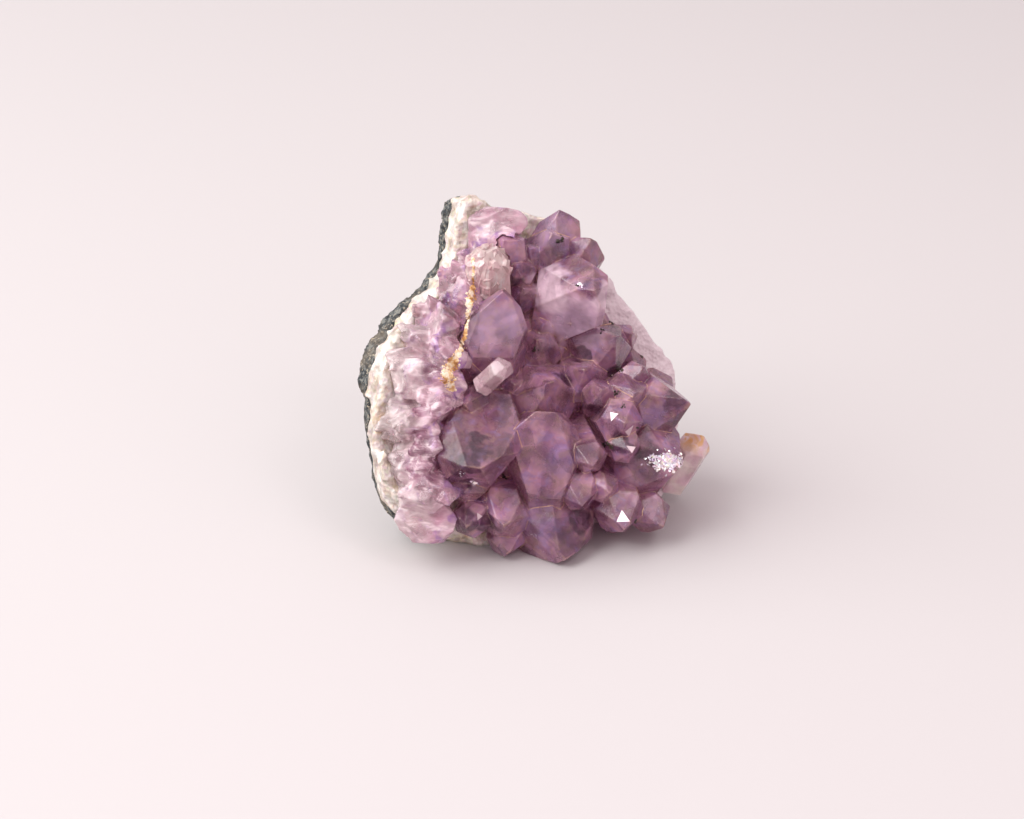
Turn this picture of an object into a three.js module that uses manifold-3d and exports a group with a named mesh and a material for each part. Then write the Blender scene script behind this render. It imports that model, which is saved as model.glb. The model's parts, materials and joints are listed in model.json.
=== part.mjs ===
// An amethyst cluster: a broken piece of geode wall, resting on its lower broken edge.
// From the outside in, the wall is a thin dark rock rind, a band of milky quartz, and the
// amethyst crystals that grew from it. A crack filled with iron rust parts the crystal points
// from the columns that were broken open along the left flank.
//
// Units are millimetres, +Z is up, and the front is towards -Y. The crystals are placed in the
// crystal face's own frame: x to the right, y up the face and z out of it. The rock wall behind
// is placed in a wall frame: u across, v up, and w the way the crystals grew.

import * as THREE from "three";
import { mergeVertices } from "three/addons/utils/BufferGeometryUtils.js";
import Module from "manifold-3d";

const wasm = await Module();
wasm.setup();

// ---------------------------------------------------------------- driving dimensions

const FACE_LEAN = 28; // degrees that the crystal face leans back from upright
const WALL_TURN = 25; // degrees that the rock wall is turned to the right of the crystal face
const FACE_CENTRE = [-0.81, -3.39, 29.5]; // the middle of the crystal face, over the resting surface
const GAP = 0.3; // left between neighbouring pieces

const RIND_THICKNESS = 3.3;
const BAND_THICKNESS = 5.7;
const WALL_ROWS = 6; // steps up the broken edge, from the back of the rind to the growth surface
const WALL_RINGS = 6; // steps from the wall's middle out to its edge
const WALL_COUNT = 75; // points around the edge
const WALL_ROUGHNESS = 0.9; // how far the broken edge is bitten in or left standing
const RIND_ROWS = 2;
const BACK_DEPTH = 17; // from the middle of the face to the back of the rind
const WALL_CURVE = 0.0034; // the geode's curve: how fast the wall comes forward away from its middle
const HEEL_DEPTH = 9; // extra rock low on the back, which the piece stands on

const QUARTZ_FACE_SLOPE = 38.2; // degrees between a quartz point's tip faces and its axis
const ROOT_LENGTH = 46; // prism length before the wall cuts it off
const CARPET_SPACING = 6.4; // between the short crystals that fill the growth surface
const CARPET_LEFT = -19; // they stop short of the flank's columns, and of the bare quartz at
const CARPET_CORNER = 32; // the upper right, where u + v is more than this

// The wall's broken edge in its own frame, as [u, v] at its back and [u, v] at its growth
// surface, clockwise from the horn at the top left.
const WALL_EDGE = [
  [[-13.4, 35.6], [-12.6, 35.8]], [[-11, 37.6], [-10.6, 37.2]], [[-7, 35.4], [-7, 34.8]],
  [[-2, 34.4], [-2, 34]], [[4, 34], [4, 33.4]], [[10, 32], [9.5, 31.5]],
  [[16, 27.5], [14.5, 27]], [[22, 22], [20, 21.6]], [[26.2, 16.4], [24, 16.2]],
  [[29.6, 10.6], [28.8, 10.6]], [[32, 5], [33.8, 5]], [[34, -2], [35, -2]],
  [[35, -10], [35, -10]], [[34, -18], [33.4, -18]], [[30, -25], [29, -25]],
  [[22, -31], [21, -30.6]], [[9, -37], [8, -33]], [[-7, -35], [-8, -31]],
  [[-15, -31], [-16.6, -28.4]], [[-22.5, -27.6], [-24, -26.6]], [[-27.4, -20], [-29.4, -20.6]],
  [[-29.2, -11], [-31, -12]], [[-31.4, 0], [-30, -3]], [[-30, 6.4], [-28.4, 5]],
  [[-25.2, 13.4], [-23.6, 12]], [[-18.4, 19.4], [-17.4, 18.8]], [[-14.4, 25], [-14.2, 25]],
  [[-14.2, 31], [-13.6, 31.4]],
];
const WALL_CENTRE = [2, -2];

// Crystal points on the face. tip is in the face frame, lean is how many degrees the axis
// turns to the right and up, width is across the prism's flats, and turn is where its first
// flat faces. sides moves single flats in or out and tips moves single tip faces in, both as
// shares of half the width.
const POINTS = [
  { tip: [5.9, 35.2, 1], lean: [0, 46], width: 14, turn: 2, sides: [0.56, 0.7, 1.1, 1.42, 1.2, 0.8] },
  { tip: [12.4, 29.6, 2.5], lean: [26, 40], width: 8.6, turn: 20 },
  { tip: [4.6, 31, 6], lean: [-5, 34], width: 17, turn: 2, sides: [0.3, 0.6, 1, 1.2, 1.2, 0.7] },
  {
    tip: [11.8, 17.6, 17.5], lean: [5, -2], width: 15.4, turn: -6,
    sides: [0.48, 0.66, 1.01, 1.23, 1.32, 0.91], tips: [0.33, 0.36, 0.44, 0.34, 0.52, 0.21],
  },
  { tip: [8.2, 11.8, 4.8], lean: [6, -18], width: 12, turn: 40 },
  {
    tip: [-6.5, 18.5, 16], lean: [4, 40], width: 12.8, turn: 31,
    sides: [0.67, 0.6, 0.68, 1.16, 1.05, 1.02], tips: [0.07, 0, 0.37, 0.19, 0.53, 0.11],
  },
  { tip: [-1.4, 18.8, 6], lean: [0, 8], width: 7, turn: 0 },
  { tip: [1.4, 8.6, 6.2], lean: [4, 14], width: 9, turn: 24 },
  { tip: [3.4, -0.4, 11.5], lean: [8, 14], width: 13.4, turn: 28 },
  {
    tip: [-10.1, -16.1, 23], lean: [3, -16], width: 16.8, turn: -39,
    sides: [0.8, 1.15, 1.19, 0.89, 0.92, 1.46], tips: [0.27, 0.18, 0.64, 0.35, 0.13, 0.27],
  },
  {
    tip: [2.9, -5.2, 17.4], lean: [3, 40], width: 15, turn: 28,
    sides: [0.94, 1.01, 1.28, 0.78, 0.97, 0.92], tips: [0.02, 0.01, 0, 0.12, 0.9, 0.43],
  },
  { tip: [12.2, -16.2, 12.2], lean: [12, -26], width: 6.6, turn: 40 },
  { tip: [7.6, -35.6, 8.4], lean: [18, -42], width: 15.8, turn: 2 },
  { tip: [-5.6, -28, 12.2], lean: [-4, -24], width: 9.6, turn: 26 },
  { tip: [-12.8, -28, 11.6], lean: [-12, -20], width: 6.8, turn: 10 },
  { tip: [-5.2, -34.4, 5.4], lean: [-4, -44], width: 7.2, turn: 18 },
  { tip: [10.4, -24, 10.6], lean: [10, -32], width: 7.4, turn: 34 },
  { tip: [15.2, -21.8, 9.2], lean: [16, -22], width: 6.4, turn: 6 },
  { tip: [18.2, -29, 7], lean: [10, -36], width: 9, turn: 21 },
  { tip: [26.4, -28.4, 3], lean: [32, -34], width: 8, turn: 48 },
  { tip: [29.6, -16.4, 7.6], lean: [36, -14], width: 15.6, turn: 12 },
  { tip: [17.8, -7.8, 12.4], lean: [8, -4], width: 8.4, turn: 28 },
  { tip: [19.4, -13.2, 10.8], lean: [14, -14], width: 6.6, turn: 20 },
  { tip: [21, -1.6, 8.4], lean: [18, 6], width: 8.4, turn: 6 },
  { tip: [32.7, -3.4, 3.4], lean: [56, 10], width: 12.8, turn: 17 },
  { tip: [13.6, -0.6, 8.6], lean: [4, 18], width: 6, turn: 15 },
  { tip: [10.6, 3.6, 6], lean: [6, 20], width: 11, turn: 38 },
  { tip: [17.2, 10, 3.6], lean: [24, 18], width: 11, turn: 26 },
  { tip: [22.4, 3.6, 4], lean: [28, 26], width: 6, turn: 8 },
];

// Columns that the break along the left flank laid open. They run from the quartz band to the
// crack beside the crystal points; from and to are the ends of the side that was laid open.
const COLUMNS = [
  { from: [-10.6, 32.4, 1.5], to: [-1.6, 31.4, 6.4], width: 6, turn: 14 },
  { from: [-13.2, 27.4, 3], to: [-4.6, 30, 8], width: 7.6, turn: 32 },
  { from: [-15.2, 25.4, 3.4], to: [-7.6, 19.4, 10.4], width: 8.6, turn: 8 },
  { from: [-18.2, 19.4, 4], to: [-9.8, 20.6, 10.2], width: 6.4, turn: 50 },
  { from: [-21.4, 16.4, 5.4], to: [-11.8, 13, 12.8], width: 8.8, turn: 26 },
  { from: [-25.4, 12, 7], to: [-15.6, 11.4, 12.4], width: 6, turn: 5 },
  { from: [-27.2, 7.4, 8], to: [-14.4, 4.6, 14.6], width: 10.6, turn: 41 },
  { from: [-29, 0.8, 8.2], to: [-18.6, 2.2, 13.2], width: 6, turn: 17 },
  { from: [-29.2, -3, 8.8], to: [-16.2, -3.4, 15.8], width: 8.6, turn: 36 },
  { from: [-29.4, -9.4, 9], to: [-20, -6.4, 14.2], width: 5.2, turn: 12 },
  { from: [-29.6, -11, 9], to: [-18.2, -13, 15.2], width: 7.4, turn: 47 },
  { from: [-29.2, -17.8, 9], to: [-20.4, -15.8, 14], width: 4.8, turn: 22 },
  { from: [-28.4, -20.4, 8.8], to: [-16.6, -20.8, 14.6], width: 8, turn: 55 },
  { from: [-25, -26.6, 8], to: [-15.8, -27, 13.4], width: 9.2, turn: 30 },
];
const COLUMN_DROP = 0.32; // how deep each column's middle lies, as a share of its width
const COLUMN_TUCK = 1.6; // how far each column runs on under the crystal points
const COLUMN_BREAKS = 3; // slanting breaks that shape the crest of each

// Pieces that stand loose or apart from the rest. The first two were snapped off short: snap is
// how far below the point, as a share of half the width.
const BROKEN_STUB = { tip: [-9, 29, 10], lean: [-6, 60], width: 8, turn: 6, length: 15, snap: 0.8 };
const STRAY_PRISM = { tip: [-4, 4.3, 17], lean: [36, 32], width: 4.4, turn: 12, length: 10, snap: 0.7 };
const SIDE_CRYSTAL = { tip: [34.4, -9.4, -5.4], lean: [24, 40], width: 6.2, turn: 20, length: 17.5 };

// ---------------------------------------------------------------- small tools

const radians = THREE.MathUtils.degToRad;
const vector = (list) => new THREE.Vector3(...list);

// A repeatable random number from 0 to 1 for a lattice point.
function lattice(i, j, k) {
  const s = Math.sin(i * 127.1 + j * 311.7 + k * 74.7) * 43758.5453;
  return s - Math.floor(s);
}

// Smooth noise from -1 to 1 with features about one unit across.
function noise(x, y, z) {
  const [i, j, k] = [Math.floor(x), Math.floor(y), Math.floor(z)];
  const ease = (t) => t * t * (3 - 2 * t);
  const [a, b, c] = [ease(x - i), ease(y - j), ease(z - k)];
  let sum = 0;
  for (let n = 0; n < 8; n++) {
    const [p, q, r] = [n & 1, (n >> 1) & 1, n >> 2];
    const share = (p ? a : 1 - a) * (q ? b : 1 - b) * (r ? c : 1 - c);
    sum += share * lattice(i + p, j + q, k + r);
  }
  return 2 * sum - 1;
}

const smoothstep = THREE.MathUtils.smoothstep;

// A manifold solid from a closed three.js geometry.
function solidFrom(geometry) {
  const bare = geometry.clone();
  bare.deleteAttribute("normal");
  bare.deleteAttribute("uv");
  const merged = mergeVertices(bare, 1e-4);
  return new wasm.Manifold(
    new wasm.Mesh({
      numProp: 3,
      vertProperties: new Float32Array(merged.attributes.position.array),
      triVerts: new Uint32Array(merged.index.array),
    }),
  );
}

// A flat-shaded three.js geometry from a manifold solid.
function geometryFrom(solid) {
  const { vertProperties, triVerts } = solid.getMesh();
  const geometry = new THREE.BufferGeometry();
  geometry.setAttribute("position", new THREE.BufferAttribute(vertProperties, 3));
  geometry.setIndex(new THREE.BufferAttribute(triVerts, 1));
  const flat = geometry.toNonIndexed();
  flat.computeVertexNormals();
  return flat;
}

// Keeps the part of a solid on the inner side of a plane, where normal . p is below offset.
function cutOff(solid, normal, offset) {
  return solid.trimByPlane([-normal.x, -normal.y, -normal.z], -offset);
}

// ---------------------------------------------------------------- frames

// Wall frame to face frame: turned about the face's own upward axis.
const wallToFace = new THREE.Matrix4().makeRotationY(radians(WALL_TURN));
const faceToWall = wallToFace.clone().invert();

// Face frame to standing frame: leaned back, over the middle of the base, resting on z = 0.
const faceToStand = new THREE.Matrix4()
  .makeTranslation(...FACE_CENTRE)
  .multiply(new THREE.Matrix4().makeRotationX(radians(90 - FACE_LEAN)));

// ---------------------------------------------------------------- the rock wall

// How far out along w the back of the rind lies: curved like a geode, lumpy, thicker at the heel.
function backHeight(u, v) {
  const heel = HEEL_DEPTH * smoothstep(-v, 4, 26) * (1 - smoothstep(Math.abs(u - 4), 14, 34));
  const lumps = 1.9 * noise(u / 9, v / 9, 1) + 0.9 * noise(u / 4, v / 4, 2);
  return -BACK_DEPTH + WALL_CURVE * (u * u + v * v) - heel + lumps;
}

// The rind is thickest at the heel, where the band behind the crystals stays even.
function rindTop(u, v) {
  const heel = HEEL_DEPTH * 0.55 * smoothstep(-v, 4, 26) * (1 - smoothstep(Math.abs(u - 4), 14, 34));
  return backHeight(u, v) + RIND_THICKNESS + heel + 0.5 * noise(u / 5, v / 5, 3);
}

// The surface that the crystals grow from.
function growthHeight(u, v) {
  const even = -BACK_DEPTH + WALL_CURVE * (u * u + v * v) + RIND_THICKNESS + BAND_THICKNESS;
  return even + 1.1 * noise(u / 6, v / 6, 4) + 0.5 * noise(u / 3, v / 3, 5);
}

const bandTop = (u, v) => Math.max(growthHeight(u, v), rindTop(u, v) + 2);

// The broken edge as count pairs of points, at the wall's back and at its growth surface.
function wallRim(count) {
  const side = (which) => {
    const corners = WALL_EDGE.map((pair) => new THREE.Vector3(...pair[which], 0));
    return new THREE.CatmullRomCurve3(corners, true, "centripetal").getPoints(count).slice(0, count);
  };
  const front = side(1);
  return side(0).map((back, i) => [back, front[i]]);
}

// A closed layer of the wall between two height functions, with a rough broken edge that takes
// this many rows, up from the row at this depth. A layer with a skirt goes on past the rim by
// that much.
function wallLayer({ low, high, depth, rows, skirt = 0 }) {
  const count = WALL_COUNT;
  const rim = wallRim(count);
  const lastRing = skirt > 0 ? WALL_RINGS + 1 : WALL_RINGS;
  const [cu, cv] = WALL_CENTRE;
  const points = [];
  const faces = [];
  const addRing = (place) => {
    const first = points.length;
    rim.forEach((pair) => points.push(place(pair)));
    return first;
  };
  const join = (a, b) => {
    for (let i = 0; i < count; i++) {
      const n = (i + 1) % count;
      faces.push([a + i, b + i, b + n], [a + i, b + n, a + n]);
    }
  };
  // As join, split along the other diagonal, so that a top lies parallel to the bottom above it.
  const joinInward = (a, b) => {
    for (let i = 0; i < count; i++) {
      const n = (i + 1) % count;
      faces.push([a + i, b + i, a + n], [b + i, b + n, a + n]);
    }
  };
  // A point of the rim at a depth in the wall, roughened differently at each.
  const edge = ([back, front], at, extra = 0) => {
    const p = back.clone().lerp(front, at / WALL_ROWS);
    const away = new THREE.Vector2(p.x - cu, p.y - cv).normalize();
    const small = noise(p.x / 3.4, p.y / 3.4, at * 0.8);
    const bite = WALL_ROUGHNESS * (small + 0.6 * noise(p.x / 7, p.y / 7, at * 0.5));
    return [p.x + away.x * (bite + extra), p.y + away.y * (bite + extra)];
  };
  const surface = (height, ring, at) => (pair) => {
    const share = Math.min(1, ring / WALL_RINGS);
    const [ru, rv] = edge(pair, at, ring > WALL_RINGS ? skirt : 0);
    const u = cu + (ru - cu) * share;
    const v = cv + (rv - cv) * share;
    return [u, v, height(u, v)];
  };
  const bottomCentre = points.push([cu, cv, low(cu, cv)]) - 1;
  let last = null;
  for (let ring = 1; ring <= lastRing; ring++) {
    const now = addRing(surface(low, ring, depth));
    if (last === null) {
      for (let i = 0; i < count; i++) faces.push([bottomCentre, now + i, now + ((i + 1) % count)]);
    } else {
      join(last, now);
    }
    last = now;
  }
  for (let row = 1; row < rows; row++) {
    const now = addRing((pair) => {
      const [u, v] = edge(pair, depth + row, skirt);
      return [u, v, THREE.MathUtils.lerp(low(u, v), high(u, v), row / rows)];
    });
    join(last, now);
    last = now;
  }
  for (let ring = lastRing; ring >= 1; ring--) {
    const now = addRing(surface(high, ring, depth + rows));
    (ring === lastRing ? join : joinInward)(last, now);
    last = now;
  }
  const topCentre = points.push([cu, cv, high(cu, cv)]) - 1;
  for (let i = 0; i < count; i++) faces.push([last + i, topCentre, last + ((i + 1) % count)]);
  const geometry = new THREE.BufferGeometry();
  geometry.setAttribute("position", new THREE.Float32BufferAttribute(points.flat(), 3));
  geometry.setIndex(faces.flat());
  return solidFrom(geometry);
}

const inFace = (solid) => solid.transform(wallToFace.elements);

// Everything under the growth surface, out past the wall's edge: crystals stop GAP above it.
function belowGrowth() {
  return inFace(
    wallLayer({
      low: () => -BACK_DEPTH - 40,
      high: (u, v) => bandTop(u, v) + GAP,
      depth: WALL_ROWS - 1,
      skirt: 30,
      rows: 1,
    }),
  );
}

// ---------------------------------------------------------------- quartz crystals

// One quartz point with its tip at the origin and its axis along +Z: a six-sided prism under
// six tip faces. Three of those are larger, and each is moved a little, as in nature. Every
// face is moved out by grow. A snapped one ends in a slanting break instead.
function quartzPoint({ width, seed, sides, tips, snap, grow = 0, length = ROOT_LENGTH }) {
  const flat = width / 2;
  const prism = new THREE.CylinderGeometry(2 * width, 2 * width, length + 4 * grow, 6);
  prism.rotateX(Math.PI / 2);
  prism.translate(0, 0, grow - length / 2);
  let solid = solidFrom(prism);
  const slope = radians(QUARTZ_FACE_SLOPE);
  for (let side = 0; side < 6; side++) {
    const angle = radians(60 * side);
    const flatShare = sides ? sides[side] : 0.86 + 0.26 * lattice(side, seed, 1);
    const out = new THREE.Vector3(Math.cos(angle), Math.sin(angle), 0);
    solid = cutOff(solid, out, flat * flatShare + grow);
    const tipFace = out.clone().multiplyScalar(Math.cos(slope)).setZ(Math.sin(slope));
    const smaller = side % 2 ? 0.03 + 0.22 * lattice(side, seed, 2) : 0.05 * lattice(side, seed, 3);
    const tipShare = tips ? tips[side] : smaller;
    solid = cutOff(solid, tipFace, -flat * tipShare * Math.cos(slope) + grow);
  }
  if (snap === undefined) return solid;
  const broken = new THREE.Vector3(lattice(seed, 4, 1) - 0.5, lattice(seed, 5, 1) - 0.5, 2).normalize();
  return cutOff(solid, broken, grow - flat * snap);
}

// Turns and moves a crystal made at the origin so that its axis and tip are as given.
function placed(solid, tip, axis, turn) {
  const spin = new THREE.Quaternion().setFromAxisAngle(new THREE.Vector3(0, 0, 1), radians(turn));
  const aim = new THREE.Quaternion().setFromUnitVectors(new THREE.Vector3(0, 0, 1), axis);
  const matrix = new THREE.Matrix4().compose(tip, aim.multiply(spin), new THREE.Vector3(1, 1, 1));
  return solid.transform(matrix.elements);
}

// The axis of a crystal that leans right and up by these degrees from straight out of the face.
function leaning([right, up]) {
  return new THREE.Vector3(Math.tan(radians(right)), Math.tan(radians(up)), 1).normalize();
}

// A crystal from its row of measurements.
function crystal({ tip, lean, turn, ...shape }, seed, grow = 0) {
  return placed(quartzPoint({ ...shape, seed, grow }), vector(tip), leaning(lean), turn);
}

const facePoints = (grow = 0) => POINTS.map((row, i) => crystal(row, i, grow));

// Short crystals that fill the growth surface between the large ones, on a loose grid.
function carpet(grow = 0) {
  const found = [];
  for (let row = -6; row <= 6; row++) {
    for (let column = -5; column <= 6; column++) {
      const seed = 100 + row * 17 + column;
      const shift = row % 2 ? 0.5 : 0;
      const u = (column + shift + 0.4 * (lattice(seed, 1, 1) - 0.5)) * CARPET_SPACING;
      const v = (row * 0.87 + 0.4 * (lattice(seed, 2, 2) - 0.5)) * CARPET_SPACING;
      if (u < CARPET_LEFT || u + v > CARPET_CORNER || !insideWall(u, v, 0.9)) continue;
      const rise = 8.5 + 4.5 * lattice(seed, 3, 3) - 0.0022 * (u * u + v * v);
      const tip = new THREE.Vector3(u, v, growthHeight(u, v) + rise).applyMatrix4(wallToFace);
      const lean = [u * 0.9 + 14 * (lattice(seed, 4, 4) - 0.5), v * 0.8 + 14 * (lattice(seed, 5, 5) - 0.5)];
      const width = 5.4 + 3 * lattice(seed, 6, 6);
      const turn = 60 * lattice(seed, 7, 7);
      found.push(crystal({ tip: tip.toArray(), lean, width, turn, length: 26 }, seed, grow));
    }
  }
  return found;
}

// Whether a point of the wall lies inside the outline drawn in to this share of its size.
function insideWall(u, v, share) {
  const [cu, cv] = WALL_CENTRE;
  const [x, y] = [cu + (u - cu) / share, cv + (v - cv) / share];
  let inside = false;
  WALL_EDGE.forEach(([, [ax, ay]], i) => {
    const [bx, by] = WALL_EDGE[(i + 1) % WALL_EDGE.length][1];
    if (ay > y !== by > y && x < ((bx - ax) * (y - ay)) / (by - ay) + ax) inside = !inside;
  });
  return inside;
}

// The broken-open columns of the flank, lying side by side with their middles under the break.
// Each has a shorter neighbour beside it, and slanting breaks take the crest off each.
function flankColumns() {
  return COLUMNS.flatMap(({ from, to, width, turn }, i) => {
    const along = vector(to).sub(vector(from));
    const length = along.length() + COLUMN_TUCK + 1.5;
    const axis = along.normalize();
    const outward = new THREE.Vector3(-axis.z, 0, axis.x).normalize();
    const inward = i < COLUMNS.length / 2 ? -1 : 1;
    const beside = new THREE.Vector3(0, 0.5 * width * inward, 0);
    beside.addScaledVector(axis, -width * lattice(i, 1, 9));
    return [0, 1].map((which) => {
      const size = which ? width * (0.62 + 0.3 * lattice(i, 2, 9)) : width;
      const tip = vector(to).addScaledVector(axis, COLUMN_TUCK);
      tip.addScaledVector(outward, -COLUMN_DROP * width);
      if (which) tip.add(beside);
      let column = placed(quartzPoint({ width: size, seed: 40 + i + 20 * which, length }), tip, axis, turn);
      for (let cut = 0; cut < COLUMN_BREAKS; cut++) {
        const random = (k) => lattice(i + 31 * cut, k, which);
        const normal = outward.clone().addScaledVector(axis, 1.7 * (random(3) - 0.5));
        normal.y += 1.5 * (random(4) - 0.5);
        normal.normalize();
        const middle = tip.clone().addScaledVector(axis, -2 - (length - 6) * random(5));
        column = cutOff(column, normal, normal.dot(middle) + size * (0.2 + 0.2 * random(6)));
      }
      return column;
    });
  });
}

// ---------------------------------------------------------------- assembly

// The face-frame solid stood up, with anything below the resting surface cut off.
const stood = (solid) => solid.transform(faceToStand.elements).trimByPlane([0, 0, 1], 0);

// The largest connected piece of a solid.
function largest(solid) {
  return solid.decompose().sort((a, b) => b.volume() - a.volume())[0];
}

const join = (solids) => wasm.Manifold.union(solids);

const FINISHES = {
  rock_rind: { color: 0x4a5254, roughness: 0.9, metalness: 0 },
  quartz_band: { color: 0xd8cdbf, roughness: 0.6, metalness: 0 },
  amethyst_points: { color: 0x8e6687, roughness: 0.15, metalness: 0 },
  flank_columns: { color: 0xc3a8c4, roughness: 0.3, metalness: 0 },
  broken_stub: { color: 0xd9c3cc, roughness: 0.3, metalness: 0 },
  stray_prism: { color: 0xcdb2c6, roughness: 0.15, metalness: 0 },
  side_crystal: { color: 0xc49a8e, roughness: 0.3, metalness: 0 },
};

function addNode(group, name, solid) {
  const mesh = new THREE.Mesh(geometryFrom(solid), new THREE.MeshStandardMaterial(FINISHES[name]));
  mesh.name = name;
  group.add(mesh);
}

const rind = wallLayer({ low: backHeight, high: rindTop, depth: 0, rows: RIND_ROWS });
const band = wallLayer({
  depth: RIND_ROWS,
  low: (u, v) => rindTop(u, v) + GAP,
  high: bandTop,
  rows: WALL_ROWS - RIND_ROWS,
});
const wall = belowGrowth();
const LOOSE = [BROKEN_STUB, STRAY_PRISM, SIDE_CRYSTAL];
const loose = (grow) => LOOSE.map((row, i) => crystal(row, 90 + i, grow));
const [stub, stray, side] = loose(0);
const looseAndGap = join(loose(GAP));
const points = join([...facePoints(), ...carpet()]).subtract(looseAndGap);
const pointsAndGap = join([...facePoints(GAP), ...carpet(GAP), looseAndGap]);

const cluster = new THREE.Group();
addNode(cluster, "rock_rind", largest(stood(inFace(rind))));
addNode(cluster, "quartz_band", largest(stood(inFace(band))));
addNode(cluster, "amethyst_points", largest(stood(points.subtract(wall))));
const columns = join(flankColumns()).subtract(wall).subtract(pointsAndGap);
addNode(cluster, "flank_columns", largest(stood(columns)));
addNode(cluster, "broken_stub", largest(stood(stub)));
addNode(cluster, "stray_prism", largest(stood(stray)));
addNode(cluster, "side_crystal", largest(stood(side.subtract(wall))));

export default cluster;
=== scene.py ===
"""An amethyst cluster: quartz points on a milky quartz band and a thin skin of dark rock."""

import json
import math
import random

import bpy
from mathutils import Matrix, Vector
from mathutils.bvhtree import BVHTree

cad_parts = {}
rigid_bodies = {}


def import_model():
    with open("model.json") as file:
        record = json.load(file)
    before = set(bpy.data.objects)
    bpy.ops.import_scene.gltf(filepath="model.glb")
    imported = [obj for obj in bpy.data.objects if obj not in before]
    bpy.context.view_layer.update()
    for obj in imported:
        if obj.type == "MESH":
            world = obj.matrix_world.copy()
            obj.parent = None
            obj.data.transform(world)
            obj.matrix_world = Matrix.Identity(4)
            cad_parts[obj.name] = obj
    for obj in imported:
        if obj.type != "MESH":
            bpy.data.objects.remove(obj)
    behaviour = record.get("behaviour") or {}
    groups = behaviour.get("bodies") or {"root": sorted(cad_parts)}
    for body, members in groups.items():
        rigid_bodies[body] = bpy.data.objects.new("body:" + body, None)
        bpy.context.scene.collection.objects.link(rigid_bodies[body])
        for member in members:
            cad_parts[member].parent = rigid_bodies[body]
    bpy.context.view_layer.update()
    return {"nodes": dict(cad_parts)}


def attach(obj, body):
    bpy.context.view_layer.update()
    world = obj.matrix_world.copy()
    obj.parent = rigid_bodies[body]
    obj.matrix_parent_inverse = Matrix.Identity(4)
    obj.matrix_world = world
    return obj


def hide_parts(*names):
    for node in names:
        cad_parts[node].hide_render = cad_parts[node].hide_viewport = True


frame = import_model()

bl_info = {
    "name": "Amethyst cluster",
    "version": (1, 0, 0),
    "blender": (4, 5, 0),
    "location": "View3D > Sidebar > Amethyst",
    "description": "Builds an amethyst cluster around its packed frame, with a stage to show it on",
    "category": "Object",
}

NODES = frame["nodes"]
MM = 0.001
FACE_CENTRE = Vector((-0.81, -3.39, 29.5)) * MM
FACE_LEAN = math.radians(28)
FACE = Matrix.Translation(FACE_CENTRE) @ Matrix.Rotation(math.pi / 2 - FACE_LEAN, 4, "X")
FACE_INVERSE = FACE.inverted()

# Sizes of the cells, in millimetres, that surfaces are rebuilt with.
WALL_CELL = 0.42
FLANK_CELL = 0.26
RIM_CELL = 0.39

# Where the camera looks, how steeply down, and from how far.
AIM = Vector((-4.61, -5.65, 25.15)) * MM
CAMERA_DROP = math.radians(27.5)
CAMERA_FAR = 0.48


# ---------------------------------------------------------------- small tools


def linear(code):
    """A colour that shaders read, from its sRGB hex value."""
    shares = [int(code[i : i + 2], 16) / 255 for i in (1, 3, 5)]
    return tuple(s / 12.92 if s <= 0.04045 else ((s + 0.055) / 1.055) ** 2.4 for s in shares)


def rgba(code):
    return (*linear(code), 1.0)


def settings():
    return bpy.context.scene.amethyst_cluster


def only(*pieces):
    """Selects these pieces and nothing else, and makes the first one active."""
    if bpy.context.object and bpy.context.object.mode != "OBJECT":
        bpy.ops.object.mode_set(mode="OBJECT")
    bpy.ops.object.select_all(action="DESELECT")
    for piece in pieces:
        piece.select_set(True)
    bpy.context.view_layer.objects.active = pieces[0]
    return pieces[0]


def copy_of(node, name):
    """A copy of a CAD node to shape, with its loose triangles merged."""
    piece = bpy.data.objects.new(name, NODES[node].data.copy())
    piece.data.name = name
    bpy.context.scene.collection.objects.link(piece)
    piece.data.materials.clear()
    only(piece)
    bpy.ops.object.mode_set(mode="EDIT")
    bpy.ops.mesh.select_all(action="SELECT")
    bpy.ops.mesh.customdata_custom_splitnormals_clear()
    bpy.ops.mesh.remove_doubles(threshold=0.02 * MM)
    bpy.ops.object.mode_set(mode="OBJECT")
    bpy.ops.object.shade_flat()
    return piece


def apply_modifier(piece, kind, **values):
    """Adds a modifier with its settings and applies it."""
    modifier = piece.modifiers.new(kind.title(), kind)
    for name, value in values.items():
        setattr(modifier, name, value)
    only(piece)
    bpy.ops.object.modifier_apply(modifier=modifier.name)


def texture(kind, scale, **values):
    """A solid texture for the Displace modifier, with features about scale millimetres across."""
    made = bpy.data.textures.new(kind.title(), kind)
    made.noise_scale = scale * MM
    for name, value in values.items():
        setattr(made, name, value)
    return made


def displace(piece, pattern, strength, mid=0.5, **values):
    apply_modifier(
        piece, "DISPLACE", texture=pattern, strength=strength * MM, mid_level=mid,
        texture_coords="LOCAL", **values,
    )


def rest_flat(piece):
    """Cuts off what lies under the surface that the cluster rests on, and closes the cut."""
    only(piece)
    bpy.ops.object.mode_set(mode="EDIT")
    bpy.ops.mesh.select_all(action="SELECT")
    bpy.ops.mesh.bisect(plane_co=(0, 0, 0), plane_no=(0, 0, 1), use_fill=True, clear_inner=True)
    bpy.ops.object.mode_set(mode="OBJECT")


def face_point(x, y, z=0.0):
    """A place given in the crystal face's own millimetres: x right, y up the face, z out of it."""
    return FACE @ (Vector((x, y, z)) * MM)


def skins(*pieces):
    """Search trees of the pieces' surfaces."""
    graph = bpy.context.evaluated_depsgraph_get()
    return [BVHTree.FromObject(piece, graph) for piece in pieces]


def first_hit(trees, start, direction):
    """What a line meets first: (place, normal, which tree), or None."""
    best = None
    for index, tree in enumerate(trees):
        place, normal, _, distance = tree.ray_cast(start, direction)
        if place is not None and (best is None or distance < best[3]):
            best = (place, normal, index, distance)
    return best and best[:3]


def looking_in(trees, x, y):
    """What a line straight into the crystal face at (x, y) meets first."""
    return first_hit(trees, face_point(x, y, 60), FACE.to_3x3() @ Vector((0, 0, -1)))


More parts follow.
